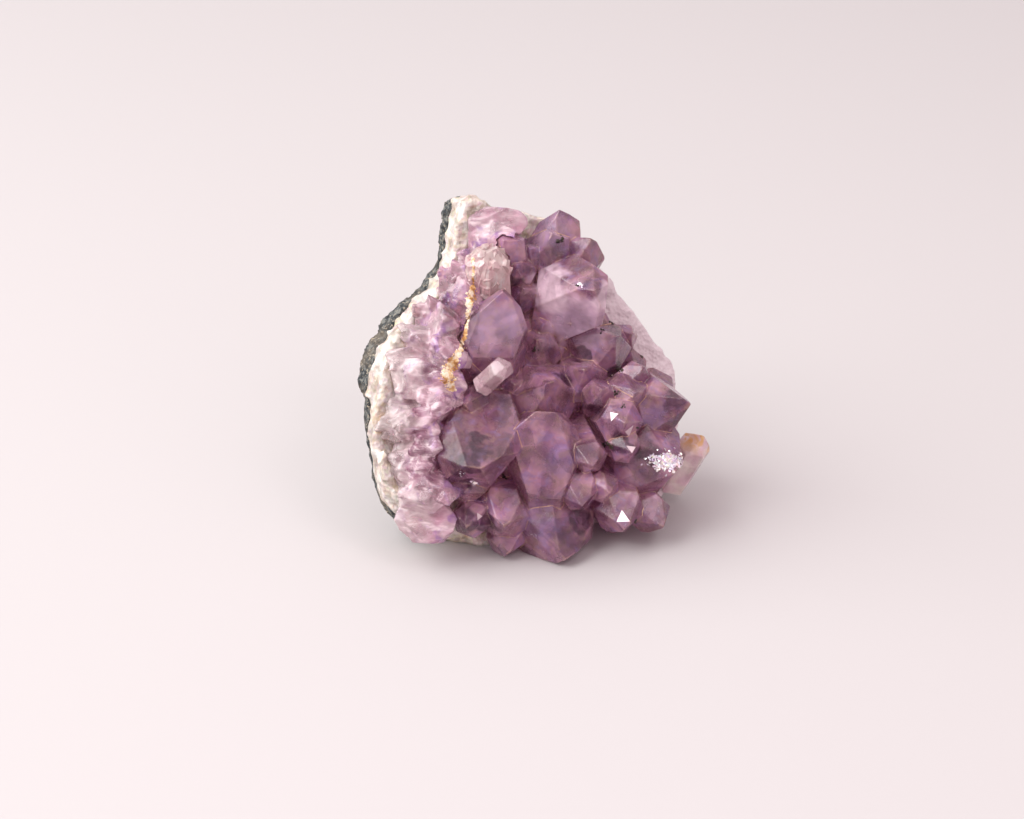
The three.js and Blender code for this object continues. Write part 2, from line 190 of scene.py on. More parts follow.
def under_face(trees, x, y, depth):
    """The place this many millimetres under what a line into the crystal face meets first."""
    hit = looking_in(trees, x, y)
    if hit is None:
        raise RuntimeError(f"no crystal lies at {x}, {y} on the face")
    return hit[0] - FACE.to_3x3() @ Vector((0, 0, depth * MM))


def places_on(trees, rng, ways, tries, keep=lambda spot: True):
    """Places and normals on the first of these surfaces, met by lines that come from each way."""
    found = []
    for way in ways:
        push = (FACE.to_3x3() @ Vector(way)).normalized()
        across = push.orthogonal().normalized()
        up = push.cross(across)
        for _ in range(tries):
            aside = across * rng.uniform(-42, 42) + up * rng.uniform(-42, 42)
            hit = first_hit(trees, FACE_CENTRE + aside * MM - push * 0.09, push)
            if hit and hit[2] == 0 and hit[0].z > 0.002 and keep(FACE_INVERSE @ hit[0] / MM):
                found.append(hit[:2])
    return found


def set_at(place, normal, size, spin, stretch=1.0):
    """The matrix that sets a shape of unit size on a surface, its +Z along the normal."""
    aim = Vector((0, 0, 1)).rotation_difference(normal).to_matrix().to_4x4()
    scale = Matrix.Diagonal((size, size, size * stretch, 1))
    return Matrix.Translation(place) @ aim @ Matrix.Rotation(spin, 4, "Z") @ scale


def jittered(normal, rng, amount):
    push = Vector((rng.uniform(-1, 1), rng.uniform(-1, 1), rng.uniform(-1, 1))) * amount
    return (normal + push).normalized()


def scattered(templates, places, name):
    """Copies the templates in turn to each matrix, each with its own mesh, and joins them all."""
    copies = []
    for index, place in enumerate(places):
        copy = bpy.data.objects.new(name, templates[index % len(templates)].data.copy())
        bpy.context.scene.collection.objects.link(copy)
        copy.data.transform(place)
        copies.append(copy)
    only(*copies)
    bpy.ops.object.join()
    for template in templates:
        bpy.data.objects.remove(template)
    joined = bpy.context.object
    joined.name = joined.data.name = name
    return joined


def grain(rounds, lumps):
    """One lumpy grain of unit radius."""
    bpy.ops.object.select_all(action="DESELECT")
    bpy.ops.mesh.primitive_ico_sphere_add(subdivisions=rounds, radius=1.0)
    piece = bpy.context.object
    bpy.ops.object.mode_set(mode="EDIT")
    bpy.ops.mesh.select_all(action="SELECT")
    bpy.ops.transform.vertex_random(offset=lumps, seed=3)
    bpy.ops.object.mode_set(mode="OBJECT")
    return piece


def broken_shard(rng):
    """One splinter of a quartz column of unit radius, snapped along slanting planes."""
    bpy.ops.object.select_all(action="DESELECT")
    bpy.ops.mesh.primitive_cylinder_add(vertices=6, radius=1.0, depth=5.0, end_fill_type="NGON")
    piece = bpy.context.object
    bpy.ops.object.mode_set(mode="EDIT")
    for side in (1, 1, 1, -1):
        bpy.ops.mesh.select_all(action="SELECT")
        bpy.ops.mesh.bisect(
            plane_co=(0, 0, side * rng.uniform(1.0, 1.7)),
            plane_no=(rng.uniform(-1, 1), rng.uniform(-1, 1), side),
            use_fill=True, clear_outer=True,
        )
    bpy.ops.mesh.select_all(action="SELECT")
    bpy.ops.mesh.bisect(
        plane_co=(0.55, 0, 0), plane_no=(1, rng.uniform(-0.5, 0.5), rng.uniform(-0.3, 0.3)),
        use_fill=True, clear_outer=True,
    )
    bpy.ops.object.mode_set(mode="OBJECT")
    return piece


def grown_together(piece, templates, places):
    """Joins a copy of a template at each matrix to the piece, as one closed solid."""
    crowd = bpy.data.collections.new("crowd")
    bpy.context.scene.collection.children.link(crowd)
    for index, place in enumerate(places):
        copy = bpy.data.objects.new("shard", templates[index % len(templates)].data.copy())
        copy.data.transform(place)
        crowd.objects.link(copy)
    apply_modifier(
        piece, "BOOLEAN", operation="UNION", solver="MANIFOLD",
        operand_type="COLLECTION", collection=crowd,
    )
    for copy in [*crowd.objects, *templates]:
        bpy.data.objects.remove(copy)
    bpy.data.collections.remove(crowd)


def rebuilt(piece, cell):
    """Rebuilds a piece as one closed skin of cells of this size in millimetres."""
    apply_modifier(piece, "REMESH", mode="VOXEL", voxel_size=cell * MM)


def melted(piece, cell, rounds):
    """Fuses a piece's overlapping parts into one skin and softens its edges."""
    rebuilt(piece, cell)
    if rounds:
        apply_modifier(piece, "SMOOTH", factor=0.5, iterations=rounds)
    bpy.ops.object.shade_smooth_by_angle(angle=math.radians(35))


def finish_piece(piece, material, slot, *replaced):
    """Gives a piece its material and ties it to the frame."""
    piece.data.materials.clear()
    piece.data.materials.append(material)
    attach(piece, "root")
    if replaced:
        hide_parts(*replaced)


# ---------------------------------------------------------------- materials


def add(tree, kind, links=(), stops=(), **settings):
    """Adds a shader node with its settings, and links or fills its inputs, in order or by name."""
    made = tree.nodes.new("ShaderNode" + kind)
    for name, value in settings.items():
        setattr(made, name, value)
    named = links if isinstance(links, dict) else dict(enumerate(links))
    for name, value in named.items():
        socket = made.inputs[name]
        if isinstance(value, bpy.types.NodeSocket):
            tree.links.new(value, socket)
        else:
            socket.default_value = value
    while stops and len(made.color_ramp.elements) < len(stops):
        made.color_ramp.elements.new(0.5)
    for index, (position, code) in enumerate(stops):
        made.color_ramp.elements[index].position = position
        made.color_ramp.elements[index].color = rgba(code)
    return made


def scale_of(size):
    """The scale of a pattern whose features are this many millimetres across."""
    return 1 / (size * MM)


def new_material(name):
    """A material with a Principled shader: itself, its tree, Object coordinates, shader and output."""
    material = bpy.data.materials.new(name)
    material.use_nodes = True
    tree = material.node_tree
    tree.nodes.clear()
    where = add(tree, "TexCoord").outputs["Object"]
    shader = add(tree, "BsdfPrincipled")
    out = add(tree, "OutputMaterial", {"Surface": shader.outputs[0]})
    return material, tree, where, shader, out


def gradient(tree, where, start, end):
    """0 at one place on the crystal face and 1 at another, along the line between them."""
    first, last = face_point(*start), face_point(*end)
    run = (last - first).normalized()
    dot = add(tree, "VectorMath", (where, run), operation="DOT_PRODUCT")
    return add(tree, "MapRange", (dot.outputs["Value"], run.dot(first), run.dot(last))).outputs[0]


def near(tree, where, trees, spots):
    """1 close to any of these (x, y, depth, reach) places under the crystal face, fading to 0."""
    total = 0.0
    for x, y, depth, reach in spots:
        middle = under_face(trees, x, y, depth)
        apart = add(tree, "VectorMath", (where, middle), operation="DISTANCE").outputs["Value"]
        share = add(tree, "MapRange", (apart, reach * 1.2 * MM, reach * 0.8 * MM)).outputs[0]
        total = add(tree, "Math", (total, share), operation="MAXIMUM").outputs[0]
    return total


def weathered_basalt():
    """Dark fine-grained basalt: a dull blue-green skin with cream and rusty flecks."""
    material, tree, where, shader, _ = new_material("weathered_basalt")
    patches = add(
        tree, "TexNoise", {"Vector": where, "Scale": scale_of(5), "Detail": 3, "Roughness": 0.55},
    ).outputs["Fac"]
    grain = add(
        tree, "TexNoise", {"Vector": where, "Scale": scale_of(0.9), "Detail": 5, "Roughness": 0.55},
    ).outputs["Fac"]
    colour = add(
        tree, "ValToRGB", {"Fac": grain},
        stops=((0.36, "#101214"), (0.5, "#2f3438"), (0.62, "#6f706c")),
    ).outputs[0]
    colour = add(
        tree, "Mix",
        {
            0: add(tree, "MapRange", (patches, 0.5, 0.65, 0, 0.6)).outputs[0], 6: colour,
            7: rgba("#6d6255"),
        },
        data_type="RGBA",
    ).outputs[2]
    flecks = add(
        tree, "TexNoise",
        {"Vector": where, "Scale": scale_of(0.7), "Detail": 4, "Roughness": 0.7, "Distortion": 1.0},
    ).outputs["Fac"]
    colour = add(
        tree, "Mix",
        {
            0: add(tree, "MapRange", (flecks, 0.57, 0.64, 0, 0.85)).outputs[0], 6: colour,
            7: rgba("#b9ab96"),
        },
        data_type="RGBA",
    ).outputs[2]
    tree.links.new(colour, shader.inputs["Base Color"])
    shader.inputs["Roughness"].default_value = 0.75
    bump = add(tree, "Bump", {"Height": grain, "Distance": 0.25 * MM, "Strength": 1})
    tree.links.new(bump.outputs[0], shader.inputs["Normal"])
    return material


def milky_quartz():
    """White to cream sugary quartz: close grains that catch the light, stained by iron in patches."""
    material, tree, where, shader, _ = new_material("milky_quartz")
    grains = add(tree, "TexVoronoi", {"Vector": where, "Scale": scale_of(0.9)}).outputs["Color"]
    patches = add(
        tree, "TexNoise", {"Vector": where, "Scale": scale_of(3), "Detail": 5, "Roughness": 0.65},
    ).outputs["Fac"]
    stain = add(
        tree, "TexNoise", {"Vector": where, "Scale": scale_of(6), "Detail": 5, "Roughness": 0.65},
    ).outputs["Fac"]
    colour = add(
        tree, "ValToRGB", {"Fac": patches},
        stops=((0.36, "#c6b3a1"), (0.46, "#dccdc1"), (0.54, "#e8ddd4"), (0.64, "#f2ebe6")),
    ).outputs[0]
    colour = add(
        tree, "Mix", {0: 0.18, 6: colour, 7: grains}, data_type="RGBA", blend_type="SOFT_LIGHT",
    ).outputs[2]
    colour = add(
        tree, "Mix",
        {
            0: add(tree, "MapRange", (stain, 0.56, 0.7, 0, 0.8)).outputs[0], 6: colour,
            7: rgba("#c79a62"),
        },
        data_type="RGBA",
    ).outputs[2]
    right = gradient(tree, where, (2, 0, 0), (14, 0, 0))
    colour = add(
        tree, "Mix",
        {
            0: right, 6: colour,
            7: add(
                tree, "Mix", {0: patches, 6: rgba("#c9b4bb"), 7: rgba("#e0d1d5")}, data_type="RGBA",
            ).outputs[2],
        },
        data_type="RGBA",
    ).outputs[2]
    tree.links.new(colour, shader.inputs["Base Color"])
    clear = add(
        tree, "MapRange",
        (
            add(
                tree, "TexNoise",
                {"Vector": where, "Scale": scale_of(2.6), "Detail": 4, "Roughness": 0.6},
            ).outputs["Fac"],
            0.42, 0.6, 0.1, 0.45,
        ),
    ).outputs[0]
    tree.links.new(
        add(tree, "Math", (clear, right), operation="SUBTRACT").outputs[0],
        shader.inputs["Transmission Weight"],
    )
    shader.inputs["IOR"].default_value = 1.544
    shader.inputs["Roughness"].default_value = 0.3
    bump = add(
        tree, "Bump",
        {
            "Height": add(
                tree, "TexVoronoi", {"Vector": where, "Scale": scale_of(0.8)},
            ).outputs["Distance"],
            "Distance": 0.22 * MM, "Strength": 1,
        },
    )
    tree.links.new(bump.outputs[0], shader.inputs["Normal"])
    return material


def grown_quartz(
    name, pale, deep, clear, absorb, density, rough=0.12, patch=4.0, zoned=None, trees=(), frosted=(),
):
    """Natural quartz crystal: clear to cloudy, with colour in zones and slightly dull faces."""
    material, tree, where, shader, out = new_material(name)
    zones = add(
        tree, "TexNoise",
        {"Vector": where, "Scale": scale_of(patch), "Detail": 3, "Roughness": 0.55, "Distortion": 0.6},
    ).outputs["Fac"]
    clouds = add(
        tree, "TexNoise", {"Vector": where, "Scale": scale_of(5), "Detail": 3, "Roughness": 0.5},
    ).outputs["Fac"]
    colour = add(
        tree, "Mix",
        {0: add(tree, "MapRange", (zones, 0.38, 0.62)).outputs[0], 6: rgba(pale), 7: rgba(deep)},
        data_type="RGBA",
    ).outputs[2]
    low, high = clear
    share = add(tree, "MapRange", (clouds, 0.35, 0.68, high, low)).outputs[0]
    if zoned:
        colour, share = zoned(tree, where, colour, share, trees)
    tree.links.new(colour, shader.inputs["Base Color"])
    tree.links.new(share, shader.inputs["Transmission Weight"])
    dull = add(
        tree, "TexNoise", {"Vector": where, "Scale": scale_of(3.4), "Detail": 4, "Roughness": 0.55},
    ).outputs["Fac"]
    dull = add(tree, "MapRange", (dull, 0.35, 0.7, rough * 0.6, rough * 1.8)).outputs[0]
    if frosted:
        frost = near(tree, where, trees, frosted)
        dull = add(tree, "Math", (frost, 0.35, dull), operation="MULTIPLY_ADD").outputs[0]
    tree.links.new(dull, shader.inputs["Roughness"])
    shader.inputs["IOR"].default_value = 1.544
    steps = add(
        tree, "Bump",
        {
            "Height": add(
                tree, "TexVoronoi", {"Vector": where, "Scale": scale_of(2.6)},
            ).outputs["Distance"],
            "Distance": 0.16 * MM, "Strength": 1,
        },
    )
    fine = add(
        tree, "TexNoise", {"Vector": where, "Scale": scale_of(1.0), "Detail": 6, "Roughness": 0.6},
    ).outputs["Fac"]
    links = {"Height": fine, "Distance": 0.09 * MM, "Strength": 1, "Normal": steps.outputs[0]}
    tree.links.new(add(tree, "Bump", links).outputs[0], shader.inputs["Normal"])
    volume = add(tree, "VolumeAbsorption", {"Color": rgba(absorb), "Density": density})
    tree.links.new(volume.outputs[0], out.inputs["Volume"])
    return material


# Places in the amethyst that differ from the rest: x and y on the face, depth under it, and reach.
# Milky spots are cloudy quartz and also painted highlight on two faces of one point that turn to the
# light.
MILKY_AND_HIGHLIGHT_SPOTS = ((3.6, 18.6, 0, 4.6), (14, 16.4, 0, 3.2))
PALE_SPOTS = ((-7.4, 11, 0, 6), (3.4, 30.6, 0, 4.5))
CLOUDY_SPOTS = ((9.4, 12.4, 0, 7.4),)
# Painted shade: dark plum spots where the clear cores of the points look dark.
PAINTED_SHADE_SPOTS = (
    (-9.4, -11, 0, 1.6), (-10.4, -13, 0, 1.9), (-11.8, -15, 0, 2), (-13.4, -16.8, 0, 1.8),
    (-12.2, -19, 0, 1.4), (-10.6, -16.4, 0, 1.8), (-15, -16.6, 0, 1.5), (10.5, 6, 0, 1.6),
    (-8.5, -27.5, 0, 2.6), (-13, -27, 0, 3), (16.6, -11.5, 0, 2.2), (13, -5, 0, 2.2), (6, 1, 1, 2),
    (23.5, -14, 0, 2.6), (-3.5, 20, 0, 2), (9, -27, 1, 2.6), (28, -3, 0, 2.4), (17, 2.5, 0, 2.2),
)
FROSTED_SPOTS = ((-8, 14, 0, 6),)
SMOKY_SPOTS = ((-12, -10, 0, 8), (27, -6, 0, 5), (8, 23.6, 0, 5))
VIOLET_SPOTS = (
    (3, 31, 0, 7), (9, 11, 0, 5), (-6, 12, 0, 4), (24, -6, 0, 3), (5.6, -15, 0, 3), (2, -27, 0, 4),
)


def bent_space(tree, where, size, amount):
    """Coordinates pushed about by noise, so that what is laid out in them has uneven outlines."""
    push = add(tree, "TexNoise", {"Vector": where, "Scale": scale_of(size), "Detail": 1})
    moved = add(
        tree, "VectorMath", (push.outputs["Color"], (amount * MM,) * 3, where),
        operation="MULTIPLY_ADD",
    )
    return add(
        tree, "VectorMath", (moved.outputs[0], (amount / 2 * MM,) * 3), operation="SUBTRACT",
    ).outputs[0]


def crystal_edges(tree, width, most):
    """0 on a crystal's flat faces, rising to the most at the edges between them."""
    rounded = add(tree, "Bevel", {"Radius": width * MM}, samples=4).outputs[0]
    flat = add(tree, "NewGeometry").outputs["True Normal"]
    apart = add(tree, "VectorMath", (rounded, flat), operation="DISTANCE").outputs["Value"]
    return add(tree, "MapRange", (apart, 0.12, 0.5, 0, most)).outputs[0]


def amethyst_zones(tree, where, colour, share, trees):
    """Brown, violet and smoky zones: milky where grown cloudy, which also paints highlight on two bright
    faces, and dark plum painted shade where clear cores look dark.
    """
    sectors = add(tree, "TexVoronoi", {"Vector": where, "Scale": scale_of(3.4)}).outputs["Color"]
    wobble = add(
        tree, "TexNoise",
        {"Vector": where, "Scale": scale_of(2.2), "Detail": 3, "Roughness": 0.55, "Distortion": 1.2},
    ).outputs["Fac"]
    hue = add(
        tree, "TexNoise",
        {"Vector": where, "Scale": scale_of(2.4), "Detail": 4, "Roughness": 0.65, "Distortion": 0.8},
    ).outputs["Fac"]
    bent = bent_space(tree, where, 3.2, 6)
    smoky, violet, pale, cloudy, milky, dark = (
        near(tree, bent, trees, spots)
        for spots in (SMOKY_SPOTS, VIOLET_SPOTS, PALE_SPOTS, CLOUDY_SPOTS, MILKY_AND_HIGHLIGHT_SPOTS, PAINTED_SHADE_SPOTS)
    )
    milky = add(
        tree, "Math", (milky, add(tree, "MapRange", (wobble, 0.3, 0.6, 0.8, 1)).outputs[0]),
        operation="MULTIPLY",
    ).outputs[0]
    dark = add(
        tree, "Math", (dark, add(tree, "MapRange", (wobble, 0.36, 0.54, 0.6, 0.85)).outputs[0]),
        operation="MULTIPLY",
    ).outputs[0]
    worn = crystal_edges(tree, width=0.55, most=0.55)
    worn = add(
        tree, "Math", (worn, add(tree, "MapRange", (hue, 0.6, 0.42)).outputs[0]),
        operation="MULTIPLY",
    ).outputs[0]
    layers = (
        (add(tree, "MapRange", (sectors, 0.42, 0.58, 0, 0.16)).outputs[0], "#8f5c86"),
        (add(tree, "MapRange", (smoky, 0, 1, 0, 0.65)).outputs[0], "#7e4a5c"),
        (add(tree, "MapRange", (violet, 0, 1, 0, 0.4)).outputs[0], "#9a7eb8"),
        (add(tree, "MapRange", (hue, 0.53, 0.64, 0, 0.4)).outputs[0], "#9a84c0"),
        (add(tree, "MapRange", (hue, 0.47, 0.37, 0, 0.45)).outputs[0], "#b48c7c"),
        (add(tree, "MapRange", (pale, 0, 1, 0, 0.3)).outputs[0], "#e6c6d6"),
        (add(tree, "MapRange", (cloudy, 0, 1, 0, 0.7)).outputs[0], "#e2c2d8"),
        # Milky: cloudy quartz, and painted highlight on two bright faces.
        (milky, "#dcbecc"),
        # Painted shade: dark plum where clear cores look dark.
        (dark, "#48203f"),
        (worn, "#cfa892"),
    )
    for factor, code in layers:
        colour = add(tree, "Mix", {0: factor, 6: colour, 7: rgba(code)}, data_type="RGBA").outputs[2]
    share = add(
        tree, "Math", (share, add(tree, "MapRange", (sectors, 0.4, 0.6, -0.04, 0.06)).outputs[0]),
        operation="ADD",
    ).outputs[0]
    share = add(
        tree, "Math", (share, add(tree, "MapRange", (cloudy, 0, 1, 0, 0.2)).outputs[0]),
        operation="SUBTRACT",
    ).outputs[0]
    dulled = add(tree, "Math", (milky, worn), operation="MAXIMUM").outputs[0]
    return colour, add(
        tree, "Math", (share, add(tree, "MapRange", (dulled, 0, 1, 0, 0.3)).outputs[0]),
        operation="SUBTRACT",
    ).outputs[0]


def streaks(tree, where, stretch, size=1.3):
    """Fine streaks, drawn out along the axis whose stretch is small."""
    drawn = add(tree, "Mapping", {"Vector": where, "Scale": stretch}).outputs[0]
    return add(
        tree, "TexNoise",
        {"Vector": drawn, "Scale": scale_of(size), "Detail": 5, "Roughness": 0.6, "Distortion": 0.3},
    ).outputs["Fac"]


DEEP_SPOTS = (
    (-20.5, -15, 0, 5), (-22, -11, 0, 2.6), (-18, -5, 0, 2.6), (-21.5, -5, 0, 2), (-19, 2, 0, 2),
)


def flank_zones(tree, where, colour, share, trees):
    """White at the rim, through pink and lilac, to violet in clear patches beside the crack."""
    across = gradient(tree, where, (-34, 0, 0), (-13, 0, 0))
    patches = add(
        tree, "TexNoise",
        {"Vector": where, "Scale": scale_of(3.6), "Detail": 2, "Roughness": 0.55, "Distortion": 0.8},
    ).outputs["Fac"]
    lines = streaks(tree, where, (0.35, 1, 1))
    colour = add(
        tree, "Mix",
        {
            0: add(tree, "MapRange", (across, 0.75, 0.15, 0, 0.9)).outputs[0], 6: colour,
            7: rgba("#fbf1ec"),
        },
        data_type="RGBA",
    ).outputs[2]
    violet = add(
        tree, "Math",
        (
            add(tree, "MapRange", (across, 0.25, 0.8)).outputs[0],
            add(tree, "MapRange", (patches, 0.54, 0.66)).outputs[0],
        ),
        operation="MULTIPLY",
    ).outputs[0]
    colour = add(tree, "Mix", {0: violet, 6: colour, 7: rgba("#bd8fca")}, data_type="RGBA").outputs[2]
    deep = near(tree, where, trees, DEEP_SPOTS)
    deep = add(
        tree, "Math", (deep, add(tree, "MapRange", (lines, 0.62, 0.42, 0.2, 1)).outputs[0]),
        operation="MULTIPLY",
    ).outputs[0]
    colour = add(tree, "Mix", {0: deep, 6: colour, 7: rgba("#a4708a")}, data_type="RGBA").outputs[2]
    colour = add(
        tree, "Mix",
        {
            0: add(tree, "MapRange", (lines, 0.46, 0.35, 0, 0.3)).outputs[0], 6: colour,
            7: rgba("#c493a6"),
        },
        data_type="RGBA",
    ).outputs[2]
    colour = add(
        tree, "Mix",
        {
            0: add(tree, "MapRange", (lines, 0.55, 0.68, 0, 0.35)).outputs[0], 6: colour,
            7: rgba("#fffaf8"),
        },
        data_type="RGBA",
    ).outputs[2]
    return colour, add(
        tree, "Math", (share, add(tree, "MapRange", (lines, 0.5, 0.7, 0, 0.3)).outputs[0]),
        operation="SUBTRACT",
    ).outputs[0]


def streaked_zones(tree, where, colour, share, trees):
    """White streaks up a cloudy pink crystal, with a few dark cracks."""
    lines = streaks(tree, where, (1, 1, 0.35))
    colour = add(
        tree, "Mix",
        {
            0: add(tree, "MapRange", (lines, 0.55, 0.66, 0, 0.8)).outputs[0], 6: colour,
            7: rgba("#fffaf8"),
        },
        data_type="RGBA",
    ).outputs[2]
    colour = add(
        tree, "Mix",
        {
            0: add(tree, "MapRange", (lines, 0.44, 0.36, 0, 0.55)).outputs[0], 6: colour,
            7: rgba("#a87684"),
        },
        data_type="RGBA",
    ).outputs[2]
    return colour, share


def stained_tip(tree, where, colour, share, trees):
    """Orange rust on the point, over lilac quartz."""
    patches = add(
        tree, "TexNoise",
        {"Vector": where, "Scale": scale_of(2.4), "Detail": 3, "Roughness": 0.55, "Distortion": 0.6},
    ).outputs["Fac"]
    tip = gradient(tree, where, (34, -17, 0), (35, -10, 0))
    rust = add(
        tree, "Math",
        (
            add(tree, "MapRange", (tip, 0.3, 0.8)).outputs[0],
            add(tree, "MapRange", (patches, 0.4, 0.56)).outputs[0],
        ),
        operation="MULTIPLY",
    ).outputs[0]
    return add(tree, "Mix", {0: rust, 6: colour, 7: rgba("#eab678")}, data_type="RGBA").outputs[2], share


def iron_ochre():
    """Grains of golden iron ochre over cream quartz dust: dull, from cream through gold to rust."""
    material, tree, where, shader, _ = new_material("iron_ochre")
    shade = add(
        tree, "TexNoise", {"Vector": where, "Scale": scale_of(1.6), "Detail": 4, "Roughness": 0.65},
    ).outputs["Fac"]
    colour = add(
        tree, "ValToRGB", {"Fac": shade},
        stops=((0.36, "#a06c3a"), (0.44, "#cb9a5c"), (0.5, "#e0c196"), (0.57, "#f2e4ce")),
    ).outputs[0]
    tree.links.new(colour, shader.inputs["Base Color"])
    shader.inputs["Roughness"].default_value = 0.55
    bump = add(
        tree, "Bump",
        {
            "Height": add(
                tree, "TexNoise",
                {"Vector": where, "Scale": scale_of(0.4), "Detail": 3, "Roughness": 0.55},
            ).outputs["Fac"],
            "Distance": 0.05 * MM, "Strength": 1,
        },
    )
    tree.links.new(bump.outputs[0], shader.inputs["Normal"])
    return material


def iron_oxide():
    """Black iron oxide with a brown cast: nearly black, half dull, rusty where it is thin."""
    material, tree, where, shader, _ = new_material("black_iron_oxide")
    shade = add(
        tree, "TexNoise", {"Vector": where, "Scale": scale_of(0.5), "Detail": 4, "Roughness": 0.55},
    ).outputs["Fac"]
    colour = add(
        tree, "ValToRGB", {"Fac": shade},
        stops=((0.4, "#15100e"), (0.6, "#3a2a1e"), (0.75, "#5e4526")),
    ).outputs[0]
    tree.links.new(colour, shader.inputs["Base Color"])
    shader.inputs["Roughness"].default_value = 0.4
    return material


def iron_film():
    """A thin film of iron rust in the creases: from beige to rusty brown."""
    material, tree, where, shader, _ = new_material("iron_film")
    shade = add(
        tree, "TexNoise", {"Vector": where, "Scale": scale_of(2.2), "Detail": 4, "Roughness": 0.55},
    ).outputs["Fac"]
    colour = add(
        tree, "ValToRGB", {"Fac": shade},
        stops=((0.35, "#8a5f5a"), (0.52, "#b58a76"), (0.68, "#d8b58e")),
    ).outputs[0]
    tree.links.new(colour, shader.inputs["Base Color"])
    shader.inputs["Roughness"].default_value = 0.5
    return material


def broken_flakes():
    """Flakes of fresh quartz that mirror the light, with thin cracks that split it into colours."""
    material, tree, where, shader, _ = new_material("fresh_broken_quartz")
    tints = add(tree, "TexVoronoi", {"Vector": where, "Scale": scale_of(0.5)}).outputs["Color"]
    colour = add(
        tree, "Mix", {0: 0.7, 6: rgba("#f0e6ec"), 7: tints}, data_type="RGBA",
        blend_type="SOFT_LIGHT",
    ).outputs[2]
    tree.links.new(colour, shader.inputs["Base Color"])
    shader.inputs["Metallic"].default_value = 0.6
    shader.inputs["Roughness"].default_value = 0.12
    return material


def painted_highlight_plates():
    """Pale flat triangles on a crystal face: painted highlight for facets that mirror the light, with
    some real gloss from their metal and low roughness.
    """
    material, tree, where, shader, _ = new_material("painted_highlight_plates")
    shade = add(
        tree, "TexNoise", {"Vector": where, "Scale": scale_of(1.2), "Detail": 3, "Roughness": 0.55},
    ).outputs["Fac"]
    tree.links.new(
        add(
            tree, "Mix", {0: shade, 6: rgba("#d8bcc6"), 7: rgba("#ecdade")}, data_type="RGBA",
        ).outputs[2],
        shader.inputs["Base Color"],
    )
    shader.inputs["Metallic"].default_value = 0.3
    shader.inputs["Roughness"].default_value = 0.15
    return material


def sealed_bubbles():
    """Gas and water bubbles in a healed crack: they scatter the light and look white."""
    material, tree, where, shader, _ = new_material("sealed_bubbles")
    shade = add(
        tree, "TexNoise", {"Vector": where, "Scale": scale_of(1.5), "Detail": 3, "Roughness": 0.55},
    ).outputs["Fac"]
    tree.links.new(
        add(
            tree, "Mix", {0: shade, 6: rgba("#f4e6ee"), 7: rgba("#ffffff")}, data_type="RGBA",
        ).outputs[2],
        shader.inputs["Base Color"],
    )
    shader.inputs["Roughness"].default_value = 0.2
    return material


# ---------------------------------------------------------------- settings


class AmethystClusterSettings(bpy.types.PropertyGroup):
    """Sizes and a count that can be changed before the pieces are built."""

    rock_grain: bpy.props.FloatProperty(
        name="Rock facet", description="Size of the facets on the broken rock",
        default=2.2 * MM, unit="LENGTH",
    )
    edge_width: bpy.props.FloatProperty(
        name="Crystal edge", description="Width of the worn edge between two crystal faces",
        default=0.13 * MM, unit="LENGTH",
    )
    rim_tries: bpy.props.IntProperty(
        name="Rim crystals", description="How many places are tried for a rim crystal from each side",
        default=1500, min=0,
    )
    film_width: bpy.props.FloatProperty(
        name="Crease film", description="Width of the rusty film where crystals meet",
        default=0.22 * MM, unit="LENGTH",
    )


# ---------------------------------------------------------------- pieces


def worn_edges(piece, width, least=22.0):
    """Turns flat runs of triangles into whole crystal faces and bevels the edges between them."""
    only(piece)
    bpy.ops.object.mode_set(mode="EDIT")
    bpy.ops.mesh.select_all(action="SELECT")
    bpy.ops.mesh.remove_doubles(threshold=0.12 * MM)
    bpy.ops.mesh.dissolve_degenerate(threshold=0.02 * MM)
    bpy.ops.mesh.select_all(action="SELECT")
    bpy.ops.mesh.dissolve_limited(angle_limit=math.radians(1.5))
    bpy.ops.mesh.select_all(action="DESELECT")
    bpy.ops.mesh.select_mode(type="EDGE")
    bpy.ops.mesh.edges_select_sharp(sharpness=math.radians(least))
    bpy.ops.mesh.bevel(offset=width, segments=1, affect="EDGES", clamp_overlap=False)
    bpy.ops.mesh.select_all(action="SELECT")
    bpy.ops.mesh.quads_convert_to_tris()
    bpy.ops.object.mode_set(mode="OBJECT")


class OBJECT_OT_rock_rind(bpy.types.Operator):
    """Build the dark rock rind, rough and broken, from its CAD node"""

    bl_idname = "object.amethyst_rock_rind"
    bl_label = "Rock rind"

    def execute(self, context):
        piece = copy_of("rock_rind", "rock_rind_weathered")
        rebuilt(piece, WALL_CELL)
        displace(piece, texture("CLOUDS", 5), 0.9)
        displace(piece, texture("VORONOI", settings().rock_grain / MM), 0.7)
        displace(piece, texture("CLOUDS", 0.9), 0.3)
        rest_flat(piece)
        finish_piece(piece, weathered_basalt(), "rock_rind", "rock_rind")
        return {"FINISHED"}


class OBJECT_OT_quartz_band(bpy.types.Operator):
    """Build the milky quartz band with its sugary broken rim"""

    bl_idname = "object.amethyst_quartz_band"
    bl_label = "Milky quartz band"

    def execute(self, context):
        piece = copy_of("quartz_band", "quartz_band_sugary")
        rebuilt(piece, WALL_CELL)
        displace(piece, texture("VORONOI", 2.2), 0.7, mid=0.2)
        displace(piece, texture("CLOUDS", 3), 0.6)
        rest_flat(piece)
        finish_piece(piece, milky_quartz(), "quartz_band", "quartz_band")
        return {"FINISHED"}


class OBJECT_OT_amethyst_points(bpy.types.Operator):
    """Build the grown-together amethyst points"""

    bl_idname = "object.amethyst_points"
    bl_label = "Amethyst points"

    def execute(self, context):
        piece = copy_of("amethyst_points", "amethyst_points_grown")
        worn_edges(piece, settings().edge_width)
        material = grown_quartz(
            "amethyst", "#d09bae", "#ab7396", clear=(0.36, 0.76), absorb="#bf7ea2", density=26,
            rough=0.17, zoned=amethyst_zones, trees=skins(piece), frosted=FROSTED_SPOTS,
        )
        finish_piece(piece, material, "amethyst_points", "amethyst_points")
        return {"FINISHED"}


